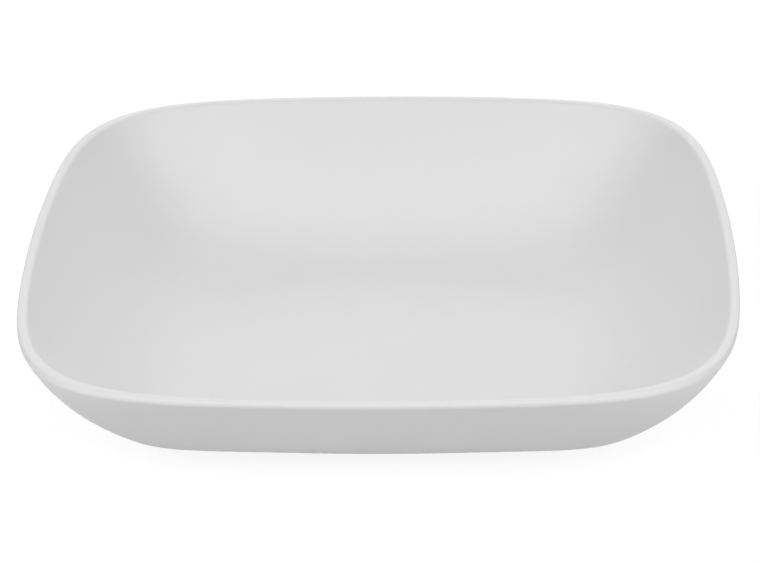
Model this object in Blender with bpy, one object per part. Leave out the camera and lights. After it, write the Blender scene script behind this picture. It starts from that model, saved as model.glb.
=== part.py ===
"""Square serving platter: one thin moulded shell with bowed walls, a rounded lip and a low foot ring.

Metres, +Z up. The origin is the middle of the plane that the foot stands on, and the front is towards -Y.
The shell is a loft: the side view is a chain of tangent arcs, and each of its points becomes one ring in
plan. A ring is a superellipse with bowed sides, soft at the rim and squarer at the floor.
"""
import math

import bmesh
import bpy
import numpy as np

# Overall sizes
RIM_WIDTH = 0.300          # across the flats, over the outside of the lip
SHELL_HEIGHT = 0.057       # underside of the floor to the top of the lip
FLAT_WIDTH = 0.146         # flat part of the floor, across the flats
WALL_THICKNESS = 0.004     # of the floor and the sides; the corners come out a little thicker

# Arcs of the side view, measured on the outer face
BASE_RADIUS = 0.060        # turn from the floor up into the wall
BOW_RADIUS = 0.260         # slight outward bow of the wall
LIP_OUTER_RADIUS = 0.0018
LIP_INNER_RADIUS = 0.0012

# Plan: superellipse exponents, where 2 is round and larger values are squarer
RIM_SQUARENESS = 4.7
WELL_SQUARENESS = 7.0      # at the floor, inside
BASE_SQUARENESS = 10.4     # at the floor, outside
SIDE_BOW = 0.0245          # how far the middles of the sides bow out, as a share of the half-width

# Foot ring under the edge of the flat floor
FOOT_HEIGHT = 0.002
FOOT_THICKNESS = 0.005
FOOT_INSET = 0.003         # from the edge of the flat floor to the foot's outer side
FOOT_EDGE_RADIUS = 0.0008

# Facets
RING_POINTS = 96
CORNER_CROWDING = 0.5      # how far the points of a ring draw together at its corners, 0 to 1
BASE_STEPS = 6
BOW_STEPS = 8
LIP_STEPS = 4
SMOOTH_ANGLE = 40.0        # degrees; edges sharper than this stay crisp

# Matt white moulding
BODY_COLOUR = (0.78, 0.78, 0.77, 1.0)
BODY_ROUGHNESS = 0.55


def arc(centre, radius, start, end, steps):
    """Points on an arc, as (half-width, height). Angles run from straight down towards +half-width."""
    angles = np.linspace(start, end, steps + 1)
    return [(centre[0] + radius * math.sin(a), centre[1] - radius * math.cos(a)) for a in angles]


def angle_from(centre, point):
    """Angle of a point seen from a centre, measured as arc() measures it."""
    return math.atan2(point[0] - centre[0], centre[1] - point[1])


def circle_meeting(first, first_radius, second, second_radius):
    """The upper of the two points where a pair of circles cross."""
    first, second = np.array(first), np.array(second)
    apart = np.linalg.norm(second - first)
    along = (second - first) / apart
    reach = (first_radius ** 2 - second_radius ** 2 + apart ** 2) / (2 * apart)
    rise = math.sqrt(first_radius ** 2 - reach ** 2)
    across = np.array((-along[1], along[0]))
    crossings = (first + along * reach + across * rise, first + along * reach - across * rise)
    return max(crossings, key=lambda point: point[1])


def lip_radii():
    """Outer and inner radius of the lip, which may share at most most_of_wall of the wall's thickness."""
    most_of_wall = 0.75
    fit = min(1.0, most_of_wall * WALL_THICKNESS / (LIP_OUTER_RADIUS + LIP_INNER_RADIUS))
    return LIP_OUTER_RADIUS * fit, LIP_INNER_RADIUS * fit


def base_radius(lip_outer):
    """Radius of the base's turn, kept under the one arc that would run from the flat to the lip."""
    most_of_turn = 0.9
    run = RIM_WIDTH / 2 - lip_outer - FLAT_WIDTH / 2
    single_turn = run ** 2 + SHELL_HEIGHT ** 2 - 2 * SHELL_HEIGHT * lip_outer
    single_turn /= 2 * (SHELL_HEIGHT - 2 * lip_outer)
    return min(BASE_RADIUS, most_of_turn * single_turn)


def foot_section():
    """The foot ring's section, from its outer root round its two rounded edges to its inner root."""
    most_of_foot = 0.4
    outer = FLAT_WIDTH / 2 - FOOT_INSET
    inner = outer - FOOT_THICKNESS
    edge = min(FOOT_EDGE_RADIUS, most_of_foot * min(FOOT_HEIGHT, FOOT_THICKNESS))
    section = [(outer, FOOT_HEIGHT)]
    section += arc((outer - edge, edge), edge, math.pi / 2, 0.0, LIP_STEPS)
    section += arc((inner + edge, edge), edge, 0.0, -math.pi / 2, LIP_STEPS)
    section += [(inner, FOOT_HEIGHT)]
    return section


def side_view():
    """Half of the section: inside from the flat floor to the lip, and outside from there to the foot."""
    top = FOOT_HEIGHT + SHELL_HEIGHT
    lip_outer, lip_inner = lip_radii()
    base = base_radius(lip_outer)

    # The bowed wall is a circle that touches both the lip's arc and the base's arc from outside
    lip_centre = (RIM_WIDTH / 2 - lip_outer, top - lip_outer)
    base_centre = (FLAT_WIDTH / 2, FOOT_HEIGHT + base)
    bow_centre = circle_meeting(lip_centre, BOW_RADIUS - lip_outer, base_centre, BOW_RADIUS - base)
    base_turn = angle_from(bow_centre, base_centre)
    lip_turn = angle_from(bow_centre, lip_centre)

    # The lip's inner edge touches the top plane and the inner face of the wall
    inner_bow = BOW_RADIUS - WALL_THICKNESS
    edge_height = top - lip_inner
    edge_reach = math.sqrt((inner_bow + lip_inner) ** 2 - (edge_height - bow_centre[1]) ** 2)
    edge_centre = (bow_centre[0] + edge_reach, edge_height)
    edge_turn = angle_from(bow_centre, edge_centre)

    straight_up, level = math.pi, math.pi / 2
    inside = arc(base_centre, base - WALL_THICKNESS, 0.0, base_turn, BASE_STEPS)
    inside += arc(bow_centre, inner_bow, base_turn, edge_turn, BOW_STEPS)[1:]
    inside += arc(edge_centre, lip_inner, edge_turn + straight_up, straight_up, LIP_STEPS)[1:]
    outside = arc(lip_centre, lip_outer, straight_up, level, LIP_STEPS)
    outside += arc(lip_centre, lip_outer, level, lip_turn, LIP_STEPS)[1:]
    outside += arc(bow_centre, BOW_RADIUS, lip_turn, base_turn, BOW_STEPS)[1:]
    outside += arc(base_centre, base, base_turn, 0.0, BASE_STEPS)[1:]
    return inside, outside + foot_section()


def plan_ring(half_width, height, floor_squareness):
    """Points of one ring: a superellipse with bowed sides, its points closer together round the corners."""
    corners = 4
    turns = np.arange(RING_POINTS) * 2 * math.pi / RING_POINTS
    turns = turns + CORNER_CROWDING / corners * np.sin(corners * turns)
    climb = min(1.0, max(0.0, (height - FOOT_HEIGHT) / SHELL_HEIGHT))
    power = floor_squareness + (RIM_SQUARENESS - floor_squareness) * climb
    cosines, sines = np.cos(turns), np.sin(turns)
    bow = (1 + SIDE_BOW * np.cos(2 * turns) ** 2) / (1 + SIDE_BOW)
    reach = half_width * bow * (np.abs(cosines) ** power + np.abs(sines) ** power) ** (-1 / power)
    return np.stack((reach * cosines, reach * sines, np.full(RING_POINTS, height)), axis=1)


def loft(name, sections):
    """Closed mesh through a list of rings of equal count, with a flat cap on the first and the last."""
    builder = bmesh.new()
    rings = [[builder.verts.new(point) for point in section] for section in sections]
    for ring, following in zip(rings, rings[1:]):
        for here in range(RING_POINTS):
            beside = (here + 1) % RING_POINTS
            builder.faces.new((ring[here], ring[beside], following[beside], following[here]))
    builder.faces.new(rings[0])
    builder.faces.new(rings[-1])
    bmesh.ops.recalc_face_normals(builder, faces=builder.faces)
    mesh = bpy.data.meshes.new(name)
    builder.to_mesh(mesh)
    builder.free()
    mesh.shade_smooth()
    mesh.set_sharp_from_angle(angle=math.radians(SMOOTH_ANGLE))
    return mesh


def moulded_white():
    """Matt white moulding material."""
    material = bpy.data.materials.new("moulded_white")
    material.use_nodes = True
    material.diffuse_color = BODY_COLOUR
    shader = material.node_tree.nodes["Principled BSDF"]
    shader.inputs["Base Color"].default_value = BODY_COLOUR
    shader.inputs["Roughness"].default_value = BODY_ROUGHNESS
    shader.inputs["Metallic"].default_value = 0.0
    return material


def platter_body():
    """The dish: floor, walls, lip and foot ring in one piece."""
    inside, outside = side_view()
    sections = [plan_ring(half_width, height, WELL_SQUARENESS) for half_width, height in inside]
    sections += [plan_ring(half_width, height, BASE_SQUARENESS) for half_width, height in outside]
    mesh = loft("platter_body", sections)
    mesh.materials.append(moulded_white())
    return bpy.data.objects.new("platter_body", mesh)


def main():
    for leftover in list(bpy.data.objects):
        bpy.data.objects.remove(leftover, do_unlink=True)
    collection = bpy.data.collections.new("square_serving_platter")
    bpy.context.scene.collection.children.link(collection)
    body = platter_body()
    collection.objects.link(body)
    print(f"{body.name}: {len(body.data.polygons)} faces")


main()
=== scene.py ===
import math

import bpy
import numpy as np
from mathutils import Matrix, Vector


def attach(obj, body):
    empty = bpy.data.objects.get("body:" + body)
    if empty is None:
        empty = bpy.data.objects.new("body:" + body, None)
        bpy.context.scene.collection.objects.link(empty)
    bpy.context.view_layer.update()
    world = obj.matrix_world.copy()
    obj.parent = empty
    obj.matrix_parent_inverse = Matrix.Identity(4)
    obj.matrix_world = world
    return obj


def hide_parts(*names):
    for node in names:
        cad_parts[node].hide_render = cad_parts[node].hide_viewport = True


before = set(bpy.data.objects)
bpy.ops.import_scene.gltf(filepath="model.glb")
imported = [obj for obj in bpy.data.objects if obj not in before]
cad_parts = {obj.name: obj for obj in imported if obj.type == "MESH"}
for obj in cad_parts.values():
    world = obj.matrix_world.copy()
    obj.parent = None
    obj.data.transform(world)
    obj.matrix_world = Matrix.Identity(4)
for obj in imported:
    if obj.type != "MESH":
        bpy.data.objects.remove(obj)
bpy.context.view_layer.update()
scene = bpy.context.scene
scene.view_settings.view_transform = "Standard"
print("frame loaded:", sorted(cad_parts))


# camera: a long lens from the front, looking down into the dish
photoView = {
    "frameWidth": 760,                    # pixels
    "focalLength": 2883.5,                # in the same pixels
    "sensorWidth": 36.0,                  # mm
    "aim": (0.000500, -0.045402, 0.059),  # m, on the plane of the rim
    "distance": 1.1939,                   # m, from the aim to the lens
    "pitch": 26.787,                      # degrees downwards
    "roll": -0.889,                       # degrees
    "swing": 1.698,                       # degrees that the camera stands round to its right
}


def placeCamera(view):
    # a camera that looks along +Y and down, rolled about its line of sight and swung round the upright
    pitch, roll = math.radians(view["pitch"]), math.radians(view["roll"])
    swing = Matrix.Rotation(math.radians(view["swing"]), 3, "Z")
    right = Vector((1, 0, 0))
    up = Vector((0, math.sin(pitch), math.cos(pitch)))
    back = swing @ Vector((0, -math.cos(pitch), math.sin(pitch)))
    across = swing @ (right * math.cos(roll) + up * math.sin(roll))
    upwards = swing @ (up * math.cos(roll) - right * math.sin(roll))
    lens = bpy.data.cameras.new("photoCamera")
    lens.sensor_width = view["sensorWidth"]
    lens.lens = view["sensorWidth"] * view["focalLength"] / view["frameWidth"]
    camera = bpy.data.objects.new("photoCamera", lens)
    scene.collection.objects.link(camera)
    turn = Matrix((across, upwards, back)).transposed()
    place = Vector(view["aim"]) + back * view["distance"]
    camera.matrix_world = Matrix.Translation(place) @ turn.to_4x4()
    scene.camera = camera


placeCamera(photoView)
print("camera placed")


# nodes and colours
def hexColour(text):
    # sRGB hex to the linear values that a shader takes, by the curve that defines sRGB
    srgb = np.array([int(text[i:i + 2], 16) for i in (0, 2, 4)]) / 255
    linear = np.where(srgb <= 0.04045, srgb / 12.92, ((srgb + 0.055) / 1.055) ** 2.4)
    return (*linear.tolist(), 1.0)


def addNode(tree, kind, inputs=None, **settings):
    # one node with its settings; an input is a plain value or the socket that feeds it
    node = tree.nodes.new(kind)
    for name, value in settings.items():
        setattr(node, name, value)
    for name, value in (inputs or {}).items():
        if isinstance(value, bpy.types.NodeSocket):
            tree.links.new(value, node.inputs[name])
        else:
            node.inputs[name].default_value = value
    return node


# studio: soft round lamps aimed at the dish, a white floor and a white surround
studio = {
    "lampDistance": 1.5,        # m from the origin
    "lampDiameter": 1.2,        # m
    "lamps": {                  # degrees round from +X, degrees up, watts
        "frontLeft": (-135, 35, 12.6),
        "frontRight": (-45, 35, 12.4),
        "backLow": (90, 28, 10.2),
        "backHigh": (90, 60, 2.8),
    },
    "fill": 0.01,               # light from the surround itself
    "white": "ffffff",          # what the lens sees of the surround
    "floorWidth": 8.0,          # m
    "floorColour": "e7e7e7",
    "floorGlow": 0.86,          # what the lens sees of the floor: this much plain white,
    "floorShade": "808080",     # and the rest from a grey that still takes the shadow
    "floorFade": (0.8, 1.8),    # m from the dish, between which it turns as white as the surround
}


def placeLamps(look):
    for name, (azimuth, elevation, watts) in look["lamps"].items():
        lamp = bpy.data.lights.new(name, "AREA")
        lamp.shape = "DISK"
        lamp.size = look["lampDiameter"]
        lamp.energy = watts
        holder = bpy.data.objects.new(name, lamp)
        scene.collection.objects.link(holder)
        flat = math.cos(math.radians(elevation))
        towards = Vector((flat * math.cos(math.radians(azimuth)), flat * math.sin(math.radians(azimuth)),
                          math.sin(math.radians(elevation))))
        holder.location = towards * look["lampDistance"]
        holder.rotation_euler = (-towards).to_track_quat("-Z", "Y").to_euler()
        holder.visible_camera = False


def seenWhite(tree):
    # 1 for rays that show the surroundings to the eye: straight, mirrored or through glass
    path = addNode(tree, "ShaderNodeLightPath").outputs
    shown = addNode(tree, "ShaderNodeMath", {0: path["Is Camera Ray"], 1: path["Is Glossy Ray"]},
                    operation="MAXIMUM").outputs[0]
    return addNode(tree, "ShaderNodeMath", {0: shown, 1: path["Is Transmission Ray"]},
                   operation="MAXIMUM").outputs[0]


def makeSurround(look):
    world = bpy.data.worlds.new("whiteSurround")
    world.use_nodes = True
    tree = world.node_tree
    tree.nodes.clear()
    colour = hexColour(look["white"])
    dim = addNode(tree, "ShaderNodeBackground", {"Color": colour, "Strength": look["fill"]})
    white = addNode(tree, "ShaderNodeBackground", {"Color": colour, "Strength": 1.0})
    both = addNode(tree, "ShaderNodeMixShader", {
        0: seenWhite(tree), 1: dim.outputs[0], 2: white.outputs[0]})
    addNode(tree, "ShaderNodeOutputWorld", {"Surface": both.outputs[0]})
    scene.world = world


def layFloor(look):
    half = look["floorWidth"] / 2
    corners = [(-half, -half, 0), (half, -half, 0), (half, half, 0), (-half, half, 0)]
    mesh = bpy.data.meshes.new("studioFloor")
    mesh.from_pydata(corners, [], [(0, 1, 2, 3)])
    material = bpy.data.materials.new("paintedStudioFloor")
    material.use_nodes = True
    tree = material.node_tree
    tree.nodes.clear()
    paint = addNode(tree, "ShaderNodeBsdfDiffuse", {"Color": hexColour(look["floorColour"])})
    shade = addNode(tree, "ShaderNodeBsdfDiffuse", {"Color": hexColour(look["floorShade"])})
    colour = hexColour(look["white"])
    glow = addNode(tree, "ShaderNodeEmission", {"Color": colour, "Strength": look["floorGlow"]})
    near = addNode(tree, "ShaderNodeAddShader", {0: glow.outputs[0], 1: shade.outputs[0]})
    white = addNode(tree, "ShaderNodeEmission", {"Color": colour, "Strength": 1.0})
    place = addNode(tree, "ShaderNodeTexCoord").outputs["Object"]
    reach = addNode(tree, "ShaderNodeVectorMath", {0: place}, operation="LENGTH").outputs["Value"]
    away = addNode(tree, "ShaderNodeMapRange", {
        "Value": reach, "From Min": look["floorFade"][0], "From Max": look["floorFade"][1]}).outputs[0]
    shown = addNode(tree, "ShaderNodeMixShader", {0: away, 1: near.outputs[0], 2: white.outputs[0]})
    both = addNode(tree, "ShaderNodeMixShader", {
        0: seenWhite(tree), 1: paint.outputs[0], 2: shown.outputs[0]})
    addNode(tree, "ShaderNodeOutputMaterial", {"Surface": both.outputs[0]})
    mesh.materials.append(material)
    floor = bpy.data.objects.new("studioFloor", mesh)
    scene.collection.objects.link(floor)


placeLamps(studio)
makeSurround(studio)
layFloor(studio)
print("studio lit with", len(studio["lamps"]), "lamps")


# Melamine, pressed white in a blasted steel mould: a dense, matt, faintly chalky white that shows no grain,
# only a soft broad sheen, with the trimmed lip a little smoother and the foot dulled where it stands.
mm = 0.001                               # m
melamine = {
    "white": "e5e5e5",
    "cloud": "e2e2e2",                   # where the filler lies a little thicker
    "scuffed": "d3d3d3",                 # the foot where it has been slid about
    "ior": 1.5,
    "roughness": (0.60, 0.70),           # least and most, in patches
    "lipRoughness": 0.60,
    "cloudSize": 70 * mm,
    "cloudDetail": 3.0,                  # how many finer layers a pattern has
    "sheenSize": 18 * mm,                # patches of a little more or less gloss
    "sheenDetail": 4.0,
    "wavinessSize": 45 * mm,             # the mould's own slow waves
    "wavinessDetail": 1.0,
    "wavinessDepth": 0.010 * mm,
    "gritSize": 0.8 * mm,                # real blasting leaves 0.2, too fine to show, so it is drawn coarser
    "gritDetail": 2.0,
    "gritDepth": 0.0025 * mm,
    "lipFrom": (57.2 * mm, 58.6 * mm),   # heights between which the lip grows smoother
    "footUpTo": (0.2 * mm, 0.6 * mm),    # heights between which the scuffing of the foot fades
}


def makeMelamine(look):
    material = bpy.data.materials.new("pressedMelamine")
    material.use_nodes = True
    tree = material.node_tree
    tree.nodes.clear()
    place = addNode(tree, "ShaderNodeTexCoord").outputs["Object"]
    height = addNode(tree, "ShaderNodeSeparateXYZ", {0: place}).outputs["Z"]
    onLip = addNode(tree, "ShaderNodeMapRange", {
        "Value": height, "From Min": look["lipFrom"][0], "From Max": look["lipFrom"][1]}).outputs[0]
    onFoot = addNode(tree, "ShaderNodeMapRange", {
        "Value": height, "From Min": look["footUpTo"][1], "From Max": look["footUpTo"][0]}).outputs[0]

    # colour: white with faint clouds, greyer in patches on the foot's standing face
    clouds = addNode(tree, "ShaderNodeTexNoise", {
        "Vector": place, "Scale": 1 / look["cloudSize"], "Detail": look["cloudDetail"]}).outputs[0]
    body = addNode(tree, "ShaderNodeMix", {
        0: clouds, 6: hexColour(look["white"]), 7: hexColour(look["cloud"])}, data_type="RGBA").outputs[2]
    rubs = addNode(tree, "ShaderNodeTexNoise", {
        "Vector": place, "Scale": 1 / look["sheenSize"], "Detail": look["sheenDetail"]}).outputs[0]
    rubbed = addNode(tree, "ShaderNodeMath", {0: onFoot, 1: rubs}, operation="MULTIPLY").outputs[0]
    colour = addNode(tree, "ShaderNodeMix", {
        0: rubbed, 6: body, 7: hexColour(look["scuffed"])}, data_type="RGBA").outputs[2]

    # gloss: soft patches, smoother on the lip
    patches = addNode(tree, "ShaderNodeMapRange", {
        "Value": rubs, "To Min": look["roughness"][0], "To Max": look["roughness"][1]}).outputs[0]
    roughness = addNode(tree, "ShaderNodeMix", {
        0: onLip, 2: patches, 3: look["lipRoughness"]}, data_type="FLOAT").outputs[0]

    # relief: the mould's slow waves, then its grit
    waves = addNode(tree, "ShaderNodeTexNoise", {
        "Vector": place, "Scale": 1 / look["wavinessSize"], "Detail": look["wavinessDetail"]}).outputs[0]
    wavy = addNode(tree, "ShaderNodeBump", {
        "Height": waves, "Distance": look["wavinessDepth"]}).outputs[0]
    grit = addNode(tree, "ShaderNodeTexNoise", {
        "Vector": place, "Scale": 1 / look["gritSize"], "Detail": look["gritDetail"]}).outputs[0]
    relief = addNode(tree, "ShaderNodeBump", {
        "Height": grit, "Distance": look["gritDepth"], "Normal": wavy}).outputs[0]

    shader = addNode(tree, "ShaderNodeBsdfPrincipled", {
        "Base Color": colour, "Roughness": roughness, "IOR": look["ior"], "Normal": relief})
    addNode(tree, "ShaderNodeOutputMaterial", {"Surface": shader.outputs[0]})
    return material


# the dish: one pressed shell
platter = {
    "rimWidth": 0.300,        # m, across the flats
    "shellHeight": 0.057,     # underside of the floor to the top of the lip
    "flatWidth": 0.146,       # flat part of the floor
    "wall": 0.004,
    "baseRadius": 0.060,      # turn from the floor into the wall, outside
    "bowRadius": 0.260,       # outward bow of the wall, outside
    "lipOuter": 0.0007,       # tight turn of the lip's outer edge,
    "lipFall": 0.0036,        # and the slower one below it into the wall
    "lipInner": 0.0030,       # soft turn of its inner edge
    "rimPower": 4.7,          # superellipse powers: 2 is round, more is squarer
    "wellPower": 7.0,         # at the floor, inside
    "basePower": 10.4,        # at the floor, outside
    "sideBow": 0.0245,        # how far the middles of the sides bow out, in half-widths
    "footHeight": 0.002,
    "footWidth": 0.005,
    "footInset": 0.003,       # from the edge of the flat to the foot
    "footEdge": 0.0008,
    "footRoot": 0.0007,       # fillet where the foot grows out of the underside
    "around": 320,            # points round a ring
    "crowding": 0.5,          # how far they draw together at the corners
    "arcSteps": 22,           # along a long arc
    "edgeSteps": 9,           # round a small edge
    "flatSteps": 12,          # rings across the floor
}


def arcPoints(centre, radius, start, end, steps):
    # half-width and height along an arc, its angle counted from straight down
    angle = np.linspace(start, end, steps + 1)
    return np.stack((centre[0] + radius * np.sin(angle), centre[1] - radius * np.cos(angle)), axis=1)


def touchingCentre(first, firstRadius, second, secondRadius):
    # of the two points at those distances from two centres, the upper one
    apart = second - first
    span = np.linalg.norm(apart)
    along = apart / span
    reach = (firstRadius ** 2 - secondRadius ** 2 + span ** 2) / (2 * span)
    rise = math.sqrt(firstRadius ** 2 - reach ** 2)
    across = np.array((-along[1], along[0])) * rise
    return max(first + along * reach + across, first + along * reach - across, key=lambda point: point[1])


def sideView(size):
    # half of the section: inside from the middle of the floor to the lip, and outside from there to the
    # middle of the underside. The outer face is a chain of arcs that touch: the two turns of the lip, the bow
    # of the wall and the turn of the base. The inner face has the same centres for the base and the bow, with
    # a radius less by the wall's thickness, and an edge that touches the bow and the top of the lip.
    top = size["footHeight"] + size["shellHeight"]
    bed = size["footHeight"] + size["wall"]
    base, bow, wall = size["baseRadius"], size["bowRadius"], size["wall"]
    lip, fall, edge = size["lipOuter"], size["lipFall"], size["lipInner"]
    foot, root = size["footEdge"], size["footRoot"]
    lipCentre = np.array((size["rimWidth"] / 2 - lip, top - lip))
    fallCentre = np.array((size["rimWidth"] / 2 - fall, top - lip))
    baseCentre = np.array((size["flatWidth"] / 2, size["footHeight"] + base))
    bowCentre = touchingCentre(fallCentre, bow - fall, baseCentre, bow - base)

    def turnTo(point):
        # angle of a point seen from the bow's centre, counted as arcPoints counts it
        return math.atan2(point[0] - bowCentre[0], bowCentre[1] - point[1])

    innerBow = bow - wall
    edgeHeight = top - edge
    edgeReach = math.sqrt((innerBow + edge) ** 2 - (edgeHeight - bowCentre[1]) ** 2)
    edgeCentre = np.array((bowCentre[0] + edgeReach, edgeHeight))
    baseTurn, fallTurn, edgeTurn = turnTo(baseCentre), turnTo(fallCentre), turnTo(edgeCentre)
    level, up = math.pi / 2, math.pi
    long, small = size["arcSteps"], size["edgeSteps"]

    footOut = size["flatWidth"] / 2 - size["footInset"]
    footIn = footOut - size["footWidth"]
    flat = np.linspace(0, size["flatWidth"] / 2, size["flatSteps"] + 1)[1:-1]
    under = np.linspace(footIn - root, 0, size["flatSteps"] + 1)[1:-1]
    inside = np.concatenate((
        np.stack((flat, np.full(len(flat), bed)), axis=1),
        arcPoints(baseCentre, base - wall, 0, baseTurn, long),
        arcPoints(bowCentre, innerBow, baseTurn, edgeTurn, long)[1:],
        arcPoints(edgeCentre, edge, edgeTurn + up, up, small)[1:]))
    outside = np.concatenate((
        arcPoints(lipCentre, lip, up, level, small),
        arcPoints(fallCentre, fall, level, fallTurn, small)[1:],
        arcPoints(bowCentre, bow, fallTurn, baseTurn, long)[1:],
        arcPoints(baseCentre, base, baseTurn, 0, long)[1:],
        arcPoints((footOut + root, size["footHeight"] - root), root, up, up + level, small),
        arcPoints((footOut - foot, foot), foot, level, 0, small),
        arcPoints((footIn + foot, foot), foot, 0, -level, small),
        arcPoints((footIn - root, size["footHeight"] - root), root, level, up, small),
        np.stack((under, np.full(len(under), size["footHeight"])), axis=1)))
    return inside, outside


def makePlatter(size, material):
    # every point of the side view is carried round the superellipse |x|^p + |y|^p = w^p, where w is its
    # half-width and the power p slides with height from the squarer floor to the softer rim; the ring is then
    # drawn in towards its corners by the square of the sine of twice the angle, which leaves its sides bowed
    inside, outside = sideView(size)
    section = np.concatenate((inside, outside))
    width, height = section[:, :1], section[:, 1:]
    climb = np.clip((height - size["footHeight"]) / size["shellHeight"], 0, 1)
    floorPower = np.repeat((size["wellPower"], size["basePower"]), (len(inside), len(outside)))[:, None]
    power = floorPower + (size["rimPower"] - floorPower) * climb
    turn = np.arange(size["around"]) * 2 * math.pi / size["around"]
    corners = 4
    turn = turn + size["crowding"] / corners * np.sin(corners * turn)
    bow = 1 - size["sideBow"] / (1 + size["sideBow"]) * np.sin(2 * turn) ** 2
    reach = width * bow * (np.abs(np.cos(turn)) ** power + np.abs(np.sin(turn)) ** power) ** (-1 / power)
    heights = np.broadcast_to(height, reach.shape)
    rings = np.stack((reach * np.cos(turn), reach * np.sin(turn), heights), axis=2)
    poles = np.array(((0, 0, height[0, 0]), (0, 0, height[-1, 0])))
    points = np.concatenate((rings.reshape(-1, 3), poles))

    # quads between neighbouring rings, and a fan of triangles to the pole at each end
    count, around = reach.shape
    here = np.arange(around)
    beside = (here + 1) % around
    start = np.arange(count - 1)[:, None] * around
    quads = np.stack((start + here, start + around + here, start + around + beside, start + beside), axis=2)
    last = (count - 1) * around
    innerPole, outerPole = count * around, count * around + 1
    bedFan = np.stack((here, beside, np.full(around, innerPole)), axis=1)
    underFan = np.stack((last + beside, last + here, np.full(around, outerPole)), axis=1)
    faces = quads.reshape(-1, 4).tolist() + bedFan.tolist() + underFan.tolist()

    mesh = bpy.data.meshes.new("platterShell")
    mesh.from_pydata(points.tolist(), [], faces)
    mesh.shade_smooth()
    mesh.materials.append(material)
    shell = bpy.data.objects.new("platterShell", mesh)
    scene.collection.objects.link(shell)
    return shell


platterShell = makePlatter(platter, makeMelamine(melamine))
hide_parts("platter_body")
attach(platterShell, "root")
print("platter shell:", len(platterShell.data.polygons), "faces")
